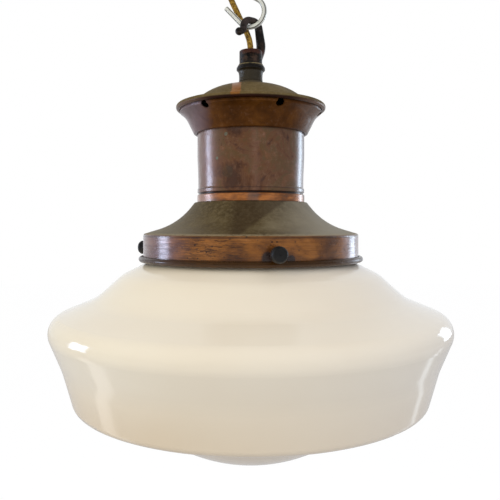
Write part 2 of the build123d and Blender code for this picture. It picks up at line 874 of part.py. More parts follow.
def below(drop):
    """A height below the bulb's contact face."""
    return up(bulb_face) - drop


def bulb_cap():
    """The bayonet cap with its two pins."""
    inner = bulb_cap_radius - bulb_cap_wall
    body = turned(
        (0, below(bulb_pad_height)),
        (bulb_cap_radius - 1, below(bulb_pad_height)),
        (bulb_cap_radius, below(bulb_pad_height + 1)),
        (bulb_cap_radius, below(bulb_cap_length)),
        (inner, below(bulb_cap_length)),
        (inner, below(bulb_cap_length - 4)),
        (0, below(bulb_cap_length - 4)),
    )
    pin = Cylinder(bulb_pin_radius, bulb_pin_reach, align=(Align.CENTER, Align.CENTER, Align.MIN))
    for azimuth in (90, 270):
        body += radial_plane(azimuth, 0, below(bulb_pin_drop)) * pin
    return body


def bulb_contacts():
    """The two solder contacts on the bulb's cap."""
    pad = Pos(0, 0, below(bulb_pad_height / 2)) * Cylinder(bulb_pad_radius, bulb_pad_height)
    return Compound(children=at_contacts(pad, contact_spacing))


def bulb_glass():
    """The bulb's thin glass envelope."""
    shoulder_lead = bulb_radius * tan(radians((90 - bulb_shoulder_slope) / 2))
    shoulder = bulb_length - bulb_radius - shoulder_lead
    lean = atan2(bulb_radius - bulb_throat[0], shoulder - bulb_throat[1])
    room = (bulb_length - shoulder) / (1 + tan(lean / 2))
    belly = min(0.99 * bulb_radius, 0.995 * room)
    corners = [
        (bulb_neck_radius, below(bulb_cap_length - 3)),
        (bulb_neck_radius, below(bulb_cap_length + 2)),
        (bulb_throat[0], below(bulb_throat[1])),
        (bulb_radius, below(shoulder)),
        (bulb_radius, below(bulb_length)),
        (0, below(bulb_length)),
    ]
    bends = [8.0, bulb_throat_bend, belly, belly]
    return spun(corners, bends, bulb_wall, Side.RIGHT)


def bulb_stem():
    """The glass stem that carries the filament."""
    top = below(bulb_cap_length - 3)
    flare = bulb_neck_radius - bulb_wall - seam_gap
    corners = [
        (0, top),
        (flare, top),
        (stem_radius, top - 7),
        (stem_radius, top - stem_length),
        (0, top - stem_length),
    ]
    return turned_soft(corners, [0.3, 3.0, 1.5])


def bulb_filament():
    """The filament with its two lead wires, in one bent wire that is let into the stem's end."""
    top = below(bulb_cap_length - 3) - stem_length - 0.1
    low = top - filament_drop
    route = [
        (-stem_radius / 2, top),
        (-filament_spread, low + 4),
        (-filament_spread / 2, low - 1),
        (0, low + 3),
        (filament_spread / 2, low - 1),
        (filament_spread, low + 4),
        (stem_radius / 2, top),
    ]
    path = upright(90) * FilletPolyline(*route, radius=1.2)
    return rod(path, filament_wire / 2)


def inner_flex():
    """The flex inside the cap and the threaded tube."""
    length = flex_join_z - cores_z
    return Pos(0, 0, cores_z) * Cylinder(flex_radius, length, align=(Align.CENTER, Align.CENTER, Align.MIN))


def holder_leads():
    """The two cores from the end of the flex to the terminal blocks."""
    foot = up(insulator_top) + 0.5 * terminal_height
    leads = []
    for side in (-1, 1):
        route = [
            (side * core_spread, 0, cores_z),
            (side * core_spread, 0, cores_z - lead_rise),
            (side * terminal_spacing / 2, 0, foot + lead_rise),
            (side * terminal_spacing / 2, 0, foot),
        ]
        bends = lowest_bends(route)
        path = FilletPolyline(*route, radius=bends)
        lead = rod(path, core_radius)
        report_cord("lead", lead, path, core_radius, bends)
        leads.append(lead)
    return Compound(children=leads)


def flex():
    """The free stretch of the flex, from the cap's hole up beside the hooks."""
    route = [(x, y, z - flex_route[0][2] + flex_join_z) for x, y, z in flex_route]
    bends = lowest_bends(route)
    path = FilletPolyline(*route, radius=bends)
    cord = rod(path, flex_radius)
    report_cord("flex", cord, path, flex_radius, bends)
    return cord


def flex_end():
    """The end of the free flex: its place, and the way it points."""
    lift = flex_join_z - flex_route[0][2]
    end = Vector(*flex_route[-1]) + Vector(0, 0, lift)
    before = Vector(*flex_route[-2]) + Vector(0, 0, lift)
    return Plane(origin=end, x_dir=(0, 1, 0), z_dir=end - before)


def paired(piece):
    """A piece on each core of the free flex."""
    return [flex_end() * Pos(side * core_spread, 0, 0) * piece for side in (-1, 1)]


def flex_cores():
    """The two stripped cores at the free end."""
    core = Cylinder(core_radius, core_strip, align=(Align.CENTER, Align.CENTER, Align.MIN))
    return Compound(children=paired(core))


def flex_wires():
    """The bare copper at the ends of the two cores."""
    wire = Cylinder(wire_radius, wire_strip, align=(Align.CENTER, Align.CENTER, Align.MIN))
    return Compound(children=paired(Pos(0, 0, core_strip) * wire))


def thumb_azimuths():
    """The names and azimuths of the thumb screws."""
    names = ("front", "back", "left")
    return [(name, thumb_azimuth + index * 360 / thumb_count) for index, name in enumerate(names)]


pieces = {
    "s_hook": s_hook(),
    "suspension_hook": suspension_hook(),
    "hook_grub_screw": hook_grub_screw(),
    "lock_ring": lock_ring(),
    "coupler": coupler(),
    "seat_washer": seat_washer(),
    "threaded_tube": threaded_tube(),
    "dome_cap": dome_cap(),
    "dome_washer": dome_washer(),
    "dome_nut": dome_nut(),
    "vent_collar": vent_collar(),
    "neck_tube": neck_tube(),
    "gallery": gallery(),
    "thumb_screw_nuts": thumb_screw_nuts(),
    "glass_shade": glass_shade(),
    "holder_cap": holder_cap(),
    "holder_cap_ring": holder_cap_ring(),
    "holder_shell": holder_shell(),
    "shade_ring": shade_ring(),
    "holder_insulator": holder_insulator(),
    "holder_terminals": holder_terminals(),
    "terminal_screws": terminal_screws(),
    "plunger_left": plunger(-1),
    "plunger_right": plunger(1),
    "plunger_spring_left": plunger_spring(-1),
    "plunger_spring_right": plunger_spring(1),
    "bulb_cap": bulb_cap(),
    "bulb_contacts": bulb_contacts(),
    "bulb_glass": bulb_glass(),
    "bulb_stem": bulb_stem(),
    "bulb_filament": bulb_filament(),
    "inner_flex": inner_flex(),
    "holder_leads": holder_leads(),
    "flex": flex(),
    "flex_cores": flex_cores(),
    "flex_wires": flex_wires(),
}
for screw_name, screw_azimuth in thumb_azimuths():
    pieces[f"thumb_screw_{screw_name}"] = thumb_screw(screw_azimuth)

os.makedirs("parts", exist_ok=True)
for name, piece in pieces.items():
    export_step(piece, f"parts/{name}.step")
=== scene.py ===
from math import cos, pi, radians, sin

import bmesh
import bpy
from mathutils import Matrix, Vector


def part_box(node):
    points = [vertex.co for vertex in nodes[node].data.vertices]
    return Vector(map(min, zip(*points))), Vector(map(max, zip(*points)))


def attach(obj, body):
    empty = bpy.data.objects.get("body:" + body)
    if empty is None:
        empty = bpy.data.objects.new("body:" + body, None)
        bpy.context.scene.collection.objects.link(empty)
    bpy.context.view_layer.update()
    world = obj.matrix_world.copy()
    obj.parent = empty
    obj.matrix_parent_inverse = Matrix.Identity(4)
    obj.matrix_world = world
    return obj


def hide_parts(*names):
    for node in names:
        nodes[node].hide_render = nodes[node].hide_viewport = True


# An opaline pendant light. Lengths are in metres in the model's frame: the origin is inside the top of
# the S-hook's upper loop, +Z is up and the front faces -Y.

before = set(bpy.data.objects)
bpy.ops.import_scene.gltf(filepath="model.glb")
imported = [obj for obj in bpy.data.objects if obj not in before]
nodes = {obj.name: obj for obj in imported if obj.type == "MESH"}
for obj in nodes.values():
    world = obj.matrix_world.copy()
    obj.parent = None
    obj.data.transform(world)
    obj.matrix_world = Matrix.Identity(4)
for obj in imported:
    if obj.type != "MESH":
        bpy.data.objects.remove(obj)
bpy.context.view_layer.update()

MM = 0.001


def foot(name):
    """The lowest height of a CAD node, to a tenth of a millimetre."""
    return round(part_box(name)[0].z, 4)


def top(name):
    """The highest height of a CAD node, to a tenth of a millimetre."""
    return round(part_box(name)[1].z, 4)


# Heights on the metalwork, which its finishes follow
CAP_HEIGHT = 0.0104
DOME_HEIGHT = 0.0148
BAND_HEIGHT = 0.0209
LOCK_RING_TOP = top("lock_ring")
CAP_TOP = LOCK_RING_TOP + CAP_HEIGHT
CREASE = top("dome_cap") - DOME_HEIGHT
NECK_FOOT = foot("neck_tube")
GALLERY_FOOT = foot("gallery")
BAND_TOP = GALLERY_FOOT + BAND_HEIGHT

# Marks on the metalwork: their places, with a size and a strength where these differ
DULL_SPOT = (-0.0172, -0.0378, -0.1622)
VERDIGRIS = [
    ((-0.0179, -0.0374, -0.1355), 0.0010, 0.55),
    ((-0.0246, -0.0334, -0.1524), 0.0009, 0.8),
]
BAND_SPECKS = [(0.0137, -0.0816, -0.2119), (0.0169, -0.0810, -0.2119)]
SPECK_SIZE = 0.0007
# Painted shadows of the front thumb screw on the band: their places and sizes
SCREW_SHADOWS = [((0.0108, -0.0819, -0.2222), 0.0036), ((0.0262, -0.0784, -0.2236), 0.0028)]

REFLECTION_FOOT = -0.2040  # height at which the skirt's painted dark reflection starts, and how steeply it climbs
REFLECTION_SLOPE = 1.35
ARCH_WEAR_AND_HIGHLIGHT = (-0.0500, -0.0380)  # heights between which the hook's arch is worn and lit by a painted highlight
GLASS_WARM_LIGHT = (-0.285, -0.335)  # heights between which painted warm light on the glass's lower left fades in
CAP_REACH = 0.0120  # how far round the light's axis the finish of the hook's cap goes
WIRE_NORMAL = (0.342, 0.940)  # of the plane in which the S-hook's wire is bent

# Old copper and the lacquer that is left on it
COPPER_METALLIC = 0.3
COPPER_IOR = 1.35
LACQUER_IOR = 1.6

# The camera: the photograph's side, the focal length and the shifts in its pixels
PHOTO_SIDE = 500
FOCAL_PIXELS = 606
SHIFT_PIXELS = (-0.8, -26.7)
SENSOR = 36.0
CAMERA_PLACE = (0.0, -0.473, -0.1998)

# Daylight: its strength and its hues from the left and right, and the dim room that polished
# surfaces see in front of the object
DAYLIGHT = 0.90
SKY_LEFT = (0.80, 0.74, 0.56)
SKY_RIGHT = (0.77, 0.80, 1.0)
ROOM_SHEEN = 0.22
ROOM_EDGE = 0.3  # how much of a direction points to the back where the room begins to whiten
ROOM_HUE = (0.93, 0.96, 1.0)
WHITE = (1.0, 1.0, 1.0)

# The floor: its place, size and colour, its white glow, and how much of the glow is seen directly
# and in reflections
FLOOR_HEIGHT = -1.15
FLOOR_HALF = 9.0
FLOOR_COLOUR = (0.54, 0.545, 0.565)
FLOOR_GLOW = 1.08
FLOOR_WHITE = 0.88
FLOOR_SHEEN = 0.3

# The point that every lamp faces
LAMP_AIM = Vector((0, 0, -0.24))

# The flex: the route of its free stretch, its braid, and its cores at both ends
FLEX_RADIUS = 2.3 * MM
FLEX_SIDES = 32
FLEX_ROUTE = [
    (0.0, 0.0, -0.0702),
    (0.0, 0.0, -0.0602),
    (-0.0032, 0.0049, -0.0492),
    (-0.0066, 0.0099, -0.0412),
    (-0.0108, 0.0124, -0.0312),
    (-0.0152, 0.0138, -0.0217),
    (-0.0182, 0.0143, -0.0137),
]
BRAID_ALONG = 2600.0  # the weave's turn in radians for each metre along the flex
BRAID_ROUND = 8  # strands round the flex, each way
CORE_RADIUS = 0.9 * MM
CORE_SIDES = 20
CORE_SPREAD = 1.05 * MM
CORE_LENGTH = 0.0105
CORES_TOP = foot("inner_flex")
TERMINAL_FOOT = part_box("holder_leads")[0].z
TERMINAL_SPREAD = 0.0045
SUNK = 0.0005  # how far a core starts inside the braid
LEAD_BEND = 0.0040

# The bare wire on each core: one strand in the middle and six twisted round it
STRAND_RADIUS = 0.145 * MM
STRAND_SIDES = 8
STRANDS_ROUND = 6
STRAND_REACH = 0.29 * MM
STRAND_START = 0.0100
STRAND_STEP = 0.0005
STRAND_STEPS = 13
STRAND_TWIST = 0.28


# Shader maths

class Term:
    """A value that varies over a surface, which Python's operators work on."""

    def __init__(self, finish, socket):
        self.finish = finish
        self.socket = socket

    def maths(self, operation, *values, **settings):
        sockets = dict(enumerate(values))
        return self.finish.node("ShaderNodeMath", {"operation": operation, **settings}, sockets)

    def __add__(self, other):
        return self.maths("ADD", self, other)

    __radd__ = __add__

    def __sub__(self, other):
        return self.maths("SUBTRACT", self, other)

    def __rsub__(self, other):
        return self.maths("SUBTRACT", other, self)

    def __mul__(self, other):
        return self.maths("MULTIPLY", self, other)

    __rmul__ = __mul__

    def __truediv__(self, other):
        return self.maths("DIVIDE", self, other)

    def __pow__(self, other):
        return self.maths("POWER", self, other)

    def __abs__(self):
        return self.maths("ABSOLUTE", self)

    def sine(self):
        return self.maths("SINE", self)

    def floor(self):
        return self.maths("FLOOR", self)

    def clamped(self):
        return self.maths("ADD", self, 0.0, use_clamp=True)

    def most(self, other):
        return self.maths("MAXIMUM", self, other)

    def fade(self, low, high):
        """0 at low and 1 at high, with soft ends. Low may be the larger."""
        settings = {"interpolation_type": "SMOOTHSTEP"}
        if low < high:
            return self.finish.node("ShaderNodeMapRange", settings, {0: self, 1: low, 2: high})
        return 1 - self.finish.node("ShaderNodeMapRange", settings, {0: self, 1: high, 2: low})

    def band(self, low, high, edge):
        """1 between two values, with soft edges."""
        return self.fade(low - edge, low + edge) * self.fade(high + edge, high - edge)


class Finish:
    """A material or a world in the making. Its node method adds any node."""

    def __init__(self, name, owners=bpy.data.materials, place="Object"):
        self.owner = owners.new(name)
        self.owner.use_nodes = True
        self.tree = self.owner.node_tree
        self.tree.nodes.clear()
        self.place = self.node("ShaderNodeTexCoord", output=place)

    def node(self, kind, settings=None, sockets=None, output=0):
        """Adds a node from its settings and its sockets' values or terms, and gives one output."""
        made = self.tree.nodes.new(kind)
        for key, value in (settings or {}).items():
            if key == "stops":
                ramp = made.color_ramp.elements
                while len(ramp) < len(value):
                    ramp.new(1.0)
                for stop, (position, colour) in zip(ramp, value):
                    stop.position = position
                    stop.color = (*colour, 1)
            else:
                setattr(made, key, value)
        for key, value in (sockets or {}).items():
            if isinstance(value, Term):
                self.tree.links.new(value.socket, made.inputs[key])
            elif isinstance(value, tuple) and made.inputs[key].type == "RGBA":
                made.inputs[key].default_value = (*value, 1)
            else:
                made.inputs[key].default_value = value
        return Term(self, made.outputs[output])

    def axis(self, letter, place=None):
        """One coordinate of the object, or of another vector."""
        return self.node("ShaderNodeSeparateXYZ", None, {0: place or self.place}, letter)

    def radius(self):
        """The distance from the light's axis."""
        x, y = self.axis("X"), self.axis("Y")
        return (x * x + y * y) ** 0.5

    def ray(self, output):
        """1 for the rays of one kind."""
        return self.node("ShaderNodeLightPath", output=output)

    def stretched(self, x, y, z):
        """The object coordinates, scaled along each axis."""
        sockets = {0: self.place, 1: (x, y, z)}
        return self.node("ShaderNodeVectorMath", {"operation": "MULTIPLY"}, sockets)

    def noise(self, scale, detail=4.0, rough=0.55, where=None, twist=0.0):
        """Clouds from 0 to 1, in the object coordinates or in others."""
        sockets = {
            "Vector": where or self.place,
            "Scale": scale,
            "Detail": detail,
            "Roughness": rough,
            "Distortion": twist,
        }
        return self.node("ShaderNodeTexNoise", None, sockets, "Fac")

    def lines(self, scale, level, upright):
        """Fine lines that run the way in which the texture's scale is small."""
        return self.noise(scale, 2.0, 0.5, self.stretched(level, level, upright))

    def pits(self, scale, size):
        """Small round spots, 1 at their middles."""
        sockets = {"Vector": self.place, "Scale": scale}
        away = self.node("ShaderNodeTexVoronoi", None, sockets, "Distance")
        return away.fade(size, 0.35 * size)

    def spot(self, place, size, ragged):
        """1 around one place, with an edge that a varying value makes ragged."""
        sockets = {0: self.place, 1: place}
        away = self.node("ShaderNodeVectorMath", {"operation": "DISTANCE"}, sockets, "Value")
        return (away + ragged * (0.5 * size)).fade(1.3 * size, 0.8 * size)

    def ramp(self, value, *stops):
        """A colour from a value, by stops of a position and a colour."""
        return self.node("ShaderNodeValToRGB", {"stops": stops}, {0: value})

    def mix(self, share, first, second):
        """A number that goes from the first to the second as the share rises."""
        return self.node("ShaderNodeMix", None, {0: share, 2: first, 3: second})

    def blend(self, share, first, second):
        """A colour that goes from the first to the second as the share rises."""
        return self.node("ShaderNodeMix", {"data_type": "RGBA"}, {0: share, 6: first, 7: second}, 2)

    def bump(self, height, strength, distance):
        """A normal from a relief."""
        sockets = {"Strength": strength, "Distance": distance, "Height": height}
        return self.node("ShaderNodeBump", None, sockets)

    def close(self, colour, roughness, metallic=0.0, normal=None, **fixed):
        """Ends the material in one shader, whose other sockets are named with underscores."""
        sockets = {"Base Color": colour, "Roughness": roughness, "Metallic": metallic}
        if normal is not None:
            sockets["Normal"] = normal
        sockets.update({key.replace("_", " "): value for key, value in fixed.items()})
        return self.end(self.node("ShaderNodeBsdfPrincipled", None, sockets))

    def end(self, shader, kind="ShaderNodeOutputMaterial"):
        """Ends the tree in a shader and returns its material or world."""
        self.tree.links.new(shader.socket, self.tree.nodes.new(kind).inputs["Surface"])
        return self.owner


def tint(red, green, blue):
    """A colour from its 0 to 255 screen values."""
    channels = [value / 255 for value in (red, green, blue)]
    return tuple(c / 12.92 if c <= 0.04045 else ((c + 0.055) / 1.055) ** 2.4 for c in channels)


# Objects

def placed(name, data):
    """An object of the scene, from its mesh, light or camera."""
    made = bpy.data.objects.new(name, data)
    bpy.context.scene.collection.objects.link(made)
    return made


def to_mesh(name, shape):
    """The mesh of a finished shape."""
    mesh = bpy.data.meshes.new(name)
    shape.to_mesh(mesh)
    shape.free()
    return mesh


def dress(material, *names):
    """Puts one finish on CAD nodes."""
    for name in names:
        mesh = nodes[name].data
        mesh.materials.clear()
        mesh.materials.append(material)


def linked(name, mesh, material, body):
    """A piece from a finished mesh, which rides on a body."""
    piece = placed(name, mesh)
    mesh.materials.append(material)
    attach(piece, body)
    return piece


def stand_camera():
    """A camera level with the neck, at the height of the photograph's horizon."""
    data = bpy.data.cameras.new("camera")
    data.sensor_width = SENSOR
    data.lens = FOCAL_PIXELS / PHOTO_SIDE * SENSOR
    data.shift_x = SHIFT_PIXELS[0] / PHOTO_SIDE
    data.shift_y = SHIFT_PIXELS[1] / PHOTO_SIDE
    data.clip_start = 0.01
    camera = placed("camera", data)
    camera.location = CAMERA_PLACE
    camera.rotation_euler = (radians(90), 0.0, 0.0)
    bpy.context.scene.camera = camera


stand_camera()


# Cords

def route_line(points):
    """A smooth NURBS curve with the points as its control points."""
    data = bpy.data.curves.new("route", "CURVE")
    data.dimensions = "3D"
    spline = data.splines.new("NURBS")
    spline.points.add(len(points) - 1)
    for point, place in zip(spline.points, points):
        point.co = (*place, 1.0)
    spline.order_u = 3
    spline.use_endpoint_u = True
    data.resolution_u = 12
    return data


def read_line(data):
    """The points along a curve, as its own mesh gives them."""
    holder = bpy.data.objects.new("route", data)
    mesh = bpy.data.meshes.new_from_object(holder)
    line = [vertex.co.copy() for vertex in mesh.vertices]
    bpy.data.meshes.remove(mesh)
    bpy.data.objects.remove(holder)
    return line


def line_between(start, end, count=6):
    """Points on a straight stretch, read from a curve of its own."""
    return read_line(route_line([tuple(start.lerp(end, step / (count - 1))) for step in range(count)]))


def along(line):
    """The frame at each point of a line, carried on without twist, and its distance from the start."""
    frames = []
    side = None
    run = 0.0
    for index, point in enumerate(line):
        before = line[max(index - 1, 0)]
        after = line[min(index + 1, len(line) - 1)]
        heading = (after - before).normalized()
        if side is None:
            side = heading.orthogonal().normalized()
        side = (side - heading * side.dot(heading)).normalized()
        if index:
            run += (point - before).length
        turn = Matrix((side, heading.cross(side), heading)).transposed().to_4x4()
        frames.append((Matrix.Translation(point) @ turn, run))
    return frames


def ring_edges(ring):
    """The edges between the corners of one ring."""
    edges = {edge for corner in ring for edge in corner.link_edges if edge.other_vert(corner) in ring}
    return list(edges)


def unroll(faces, corners, layer, sides):
    """Writes the UVs of the faces between two rings, from each corner's run and turn."""
    for face in faces:
        face.smooth = True
        turns = [corners[loop.vert][1] for loop in face.loops]
        wraps = max(turns) - min(turns) > 1
        for loop in face.loops:
            run, turn = corners[loop.vert]
            if wraps and turn == 0:
                turn = sides
            loop[layer].uv = (run, turn / sides)


def tube_mesh(name, lines, radius, sides):
    """A closed round tube along each line, with the run along it and the way round it as its UV map."""
    shape = bmesh.new()
    layer = shape.loops.layers.uv.new("cord")
    for line in lines:
        rings = []
        for place, run in along(line):
            circle = bmesh.ops.create_circle(shape, segments=sides, radius=radius, matrix=place)
            rings.append((circle["verts"], run))
        for (near, near_run), (far, far_run) in zip(rings, rings[1:]):
            made = bmesh.ops.bridge_loops(shape, edges=ring_edges(near) + ring_edges(far))["faces"]
            corners = {corner: (near_run, turn) for turn, corner in enumerate(near)}
            corners.update({corner: (far_run, turn) for turn, corner in enumerate(far)})
            unroll(made, corners, layer, sides)
        for ring, _ in (rings[0], rings[-1]):
            bmesh.ops.edgeloop_fill(shape, edges=ring_edges(ring))
    bmesh.ops.recalc_face_normals(shape, faces=shape.faces)
    return to_mesh(name, shape)


def braid_finish():
    """Gold-brown rayon braid over the flex, in two sets of crossing strands."""
    finish = Finish("flex_braid")
    uv = finish.node("ShaderNodeTexCoord", output="UV")
    run = finish.axis("X", uv) * BRAID_ALONG
    turn = finish.axis("Y", uv) * (BRAID_ROUND * pi)
    rising = run + turn
    falling = run - turn
    cell = (rising / pi).floor() + (falling / pi).floor()
    crossing = cell.maths("PINGPONG", cell, 1.0)
    weave = abs(rising.sine()) * crossing + abs(falling.sine()) * (1 - crossing)
    dirt = finish.noise(620.0, rough=0.75)
    cloth = finish.ramp(
        dirt,
        (0.38, tint(84, 56, 8)),
        (0.5, tint(166, 126, 36)),
        (0.64, tint(216, 178, 78)),
    )
    # Painted shade in the grooves between the strands of the weave
    cloth = finish.blend((1 - weave) * 0.6, cloth, tint(64, 44, 12))
    cloth = finish.blend(crossing * 0.2, cloth, tint(120, 90, 32))
    normal = finish.bump(weave, 0.8, 0.0003)
    nap = {"Sheen_Weight": 0.1, "Sheen_Roughness": 0.4, "Specular_IOR_Level": 0.2}
    return finish.close(cloth, 0.62, 0.0, normal, **nap)


def wire_finish():
    """Bright copper strands."""
    finish = Finish("copper_strands")
    cloud = finish.noise(700.0, 3.0)
    colour = finish.ramp(cloud, (0.3, tint(150, 84, 52)), (0.7, tint(226, 150, 106)))
    return finish.close(colour, finish.noise(900.0) * 0.2 + 0.2, 1.0)


def cores_finish():
    """Brown rubber insulation, with a fine grain."""
    finish = Finish("core_rubber")
    cloud = finish.noise(500.0)
    colour = finish.ramp(cloud, (0.3, tint(58, 36, 24)), (0.7, tint(96, 62, 42)))
    normal = finish.bump(finish.noise(2500.0, 2.0), 0.4, 0.0001)
    return finish.close(colour, cloud * 0.2 + 0.5, 0.0, normal)


def strand_lines(start, heading, side):
    """The seven strands of the wire that comes out of one core."""
    lines = []
    for index in range(STRANDS_ROUND + 1):
        reach = STRAND_REACH if index else 0.0
        line = []
        for step in range(STRAND_STEPS):
            angle = 2 * pi * index / STRANDS_ROUND + step * STRAND_TWIST
            out = side * cos(angle) + heading.cross(side) * sin(angle)
            line.append(start + heading * (STRAND_START + STRAND_STEP * step) + out * reach)
        lines.append(line)
    return lines


def lead_line(sign):
    """A core from the flex in the tube to its terminal."""
    return read_line(route_line([
        (sign * CORE_SPREAD, 0, CORES_TOP + SUNK),
        (sign * CORE_SPREAD, 0, CORES_TOP - LEAD_BEND),
        (sign * TERMINAL_SPREAD, 0, TERMINAL_FOOT + LEAD_BEND),
        (sign * TERMINAL_SPREAD, 0, TERMINAL_FOOT),
    ]))


def make_cords():
    """The flex above and inside the light, its stripped cores and wires, and the leads below."""
    braid = braid_finish()
    rubber = cores_finish()
    copper = wire_finish()
    line = read_line(route_line(FLEX_ROUTE))
    tube = tube_mesh("flex_braid", [line], FLEX_RADIUS, FLEX_SIDES)
    flex = linked("flex_braid", tube, braid, "lamp")
    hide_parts("flex")

    inside = line_between(Vector((0, 0, CORES_TOP)), Vector(FLEX_ROUTE[0]))
    tube = tube_mesh("flex_in_tube", [inside], FLEX_RADIUS, FLEX_SIDES)
    inner = linked("flex_in_tube", tube, braid, "lamp")
    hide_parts("inner_flex")

    heading = (line[-1] - line[-2]).normalized()
    across = Vector((0, 1, 0))
    side = (across - heading * across.dot(heading)).normalized()
    starts = [line[-1] - heading * SUNK + side * sign * CORE_SPREAD for sign in (-1, 1)]
    covers = [line_between(start, start + heading * CORE_LENGTH, 4) for start in starts]
    tube = tube_mesh("stripped_cores", covers, CORE_RADIUS, CORE_SIDES)
    cores = linked("stripped_cores", tube, rubber, "lamp")
    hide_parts("flex_cores")

    strands = [strand for start in starts for strand in strand_lines(start, heading, side)]
    tube = tube_mesh("bare_wires", strands, STRAND_RADIUS, STRAND_SIDES)
    ends = linked("bare_wires", tube, copper, "lamp")
    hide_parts("flex_wires")

    leads = [lead_line(sign) for sign in (-1, 1)]
    tube = tube_mesh("lead_cores", leads, CORE_RADIUS, CORE_SIDES)
    tails = linked("lead_cores", tube, rubber, "lamp")
    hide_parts("holder_leads")


make_cords()


# Copper

def lacquered(finish, colour, rough, normal, coat, coat_rough=0.21, metallic=COPPER_METALLIC):
    """Ends an old copper under the thin, uneven lacquer that gives it clear highlights."""
    skin = {"Coat_Weight": coat, "Coat_Roughness": coat_rough, "Coat_IOR": LACQUER_IOR}
    return finish.close(colour, rough, metallic, normal, IOR=COPPER_IOR, **skin)


def neck_brown(finish, across, clouds):
    """The neck's clouded brown, with a painted soft pinkish highlight in its middle, a painted violet
    sheen on the left and a painted bluish reflection on the right.
    """
    grain = finish.noise(300.0, 5.0, 0.7)
    colour = finish.ramp(
        clouds,
        (0.36, tint(78, 46, 26)),
        (0.44, tint(112, 72, 42)),
        (0.50, tint(100, 74, 42)),
        (0.57, tint(120, 78, 46)),
        (0.65, tint(142, 102, 80)),
    )
    colour = finish.blend(grain.fade(0.50, 0.68) * 0.35, colour, tint(138, 100, 74))
    # Painted soft pinkish highlight down the neck's middle
    colour = finish.blend(across.band(0.0005, 0.0045, 0.003) * 0.22, colour, tint(160, 118, 100))
    # Painted violet sheen on the left, where the left window's light falls
    colour = finish.blend(across.fade(-0.018, -0.034) * 0.6, colour, tint(140, 110, 106))
    # Painted bluish reflection of the right window
    colour = finish.blend(across.fade(0.032, 0.037) * 0.5, colour, tint(122, 124, 136))
    specks = finish.pits(330.0, 0.22) * finish.noise(60.0, 2.0).fade(0.5, 0.65)
    return finish.blend(specks * 0.6, colour, tint(52, 32, 22))


def neck_orange(finish, width, across):
    """The low ring's rubbed orange, with a painted pinkish highlight on the left and a greyish middle.
    """
    rubbed_and_glint = finish.noise(60.0, rough=0.6, where=finish.stretched(1.0, 1.0, 3.0))
    orange = finish.ramp(
        rubbed_and_glint,
        (0.38, tint(96, 66, 46)),
        (0.48, tint(138, 80, 32)),
        (0.64, tint(196, 120, 54)),
    )
    # Painted pinkish highlight on the ring's left side
    orange = finish.blend(width.fade(-0.020, -0.034) * 0.7, orange, tint(186, 146, 130))
    return finish.blend(across.band(-0.003, 0.005, 0.002) * 0.6, orange, tint(114, 96, 88))


def neck_finish():
    """Brown spun copper in soft clouds, with spots of verdigris and orange rubbed on the low ring."""
    finish = Finish("neck_copper")
    height = finish.axis("Z")
    width = finish.axis("X")
    clouds = finish.noise(44.0, 7.0, 0.64, twist=0.5)
    streaks = finish.noise(120.0, rough=0.7, where=finish.stretched(0.5, 0.5, 16.0))
    across = width + (clouds - 0.5) * 0.012
    colour = neck_brown(finish, across, clouds)

    ragged = (clouds - 0.5) * 7.0
    dull = finish.spot(DULL_SPOT, 0.0030, ragged) * 0.32
    colour = finish.blend(dull, colour, tint(72, 66, 48))
    green = finish.pits(70.0, 0.11) * finish.noise(18.0, 2.0).fade(0.52, 0.64) * 0.5
    for place, size, strength in VERDIGRIS:
        green = green.most(finish.spot(place, size, ragged) * strength)
    colour = finish.blend(green, colour, tint(112, 126, 108))

    ring = height.fade(NECK_FOOT + 0.0062, NECK_FOOT + 0.0055)
    colour = finish.blend(ring * 0.9, colour, neck_orange(finish, width, across))
    groove = height.band(NECK_FOOT + 0.0056, NECK_FOOT + 0.0070, 0.0005)
    colour = finish.blend(groove, colour, tint(34, 16, 8))
    bead = height.band(NECK_FOOT + 0.0093, NECK_FOOT + 0.0101, 0.0004)
    colour = finish.blend(bead * 0.6, colour, tint(58, 32, 22))

    relief = finish.lines(900.0, 0.04, 1.0) * 0.5 + clouds * 2.0 + streaks * 0.4 - green * 0.5
    normal = finish.bump(relief, 0.3, 0.0004)
    flakes = finish.noise(150.0, 5.0, 0.7, finish.stretched(1.0, 1.0, 0.7)).fade(0.42, 0.56)
    leftward = width.fade(0.030, 0.010)
    coat = leftward * (flakes * 0.5 + 0.5) + (1 - leftward) * width.fade(0.0408, 0.0392)
    return lacquered(finish, colour, clouds * 0.3 + streaks * 0.1 + 0.16, normal, coat)


def collar_finish():
    """Dark brown inside the flare's sweep, glossier at both sides, with a painted violet sheen of
    window light on its left side.
    """
    finish = Finish("collar_copper")
    clouds = finish.noise(64.0, 7.0, 0.66, twist=0.3)
    grain = finish.noise(320.0, 5.0, 0.7)
    dark = finish.ramp(
        clouds,
        (0.32, tint(58, 30, 2)),
        (0.5, tint(82, 46, 9)),
        (0.68, tint(106, 64, 20)),
    )
    violet_sheen = finish.ramp(
        clouds,
        (0.32, tint(98, 76, 78)),
        (0.5, tint(116, 94, 98)),
        (0.68, tint(134, 110, 114)),
    )
    across = finish.axis("X")
    # Painted violet sheen: the left side coloured as if lit by the window
    left = (across + clouds * 0.01).fade(-0.020, -0.036)
    sheen = abs(across).fade(0.028, 0.045) * 0.5 + 0.04
    colour = finish.blend(left, dark, violet_sheen)
    colour = finish.blend(grain.fade(0.54, 0.72) * 0.3, colour, tint(128, 96, 76))
    normal = finish.bump(clouds * 2.0 + grain * 0.3, 0.25, 0.0004)
    skin = {"IOR": 1.2, "Coat_Weight": sheen, "Coat_Roughness": 0.16}
    return finish.close(colour, clouds * 0.3 + 0.3, COPPER_METALLIC, normal, **skin)


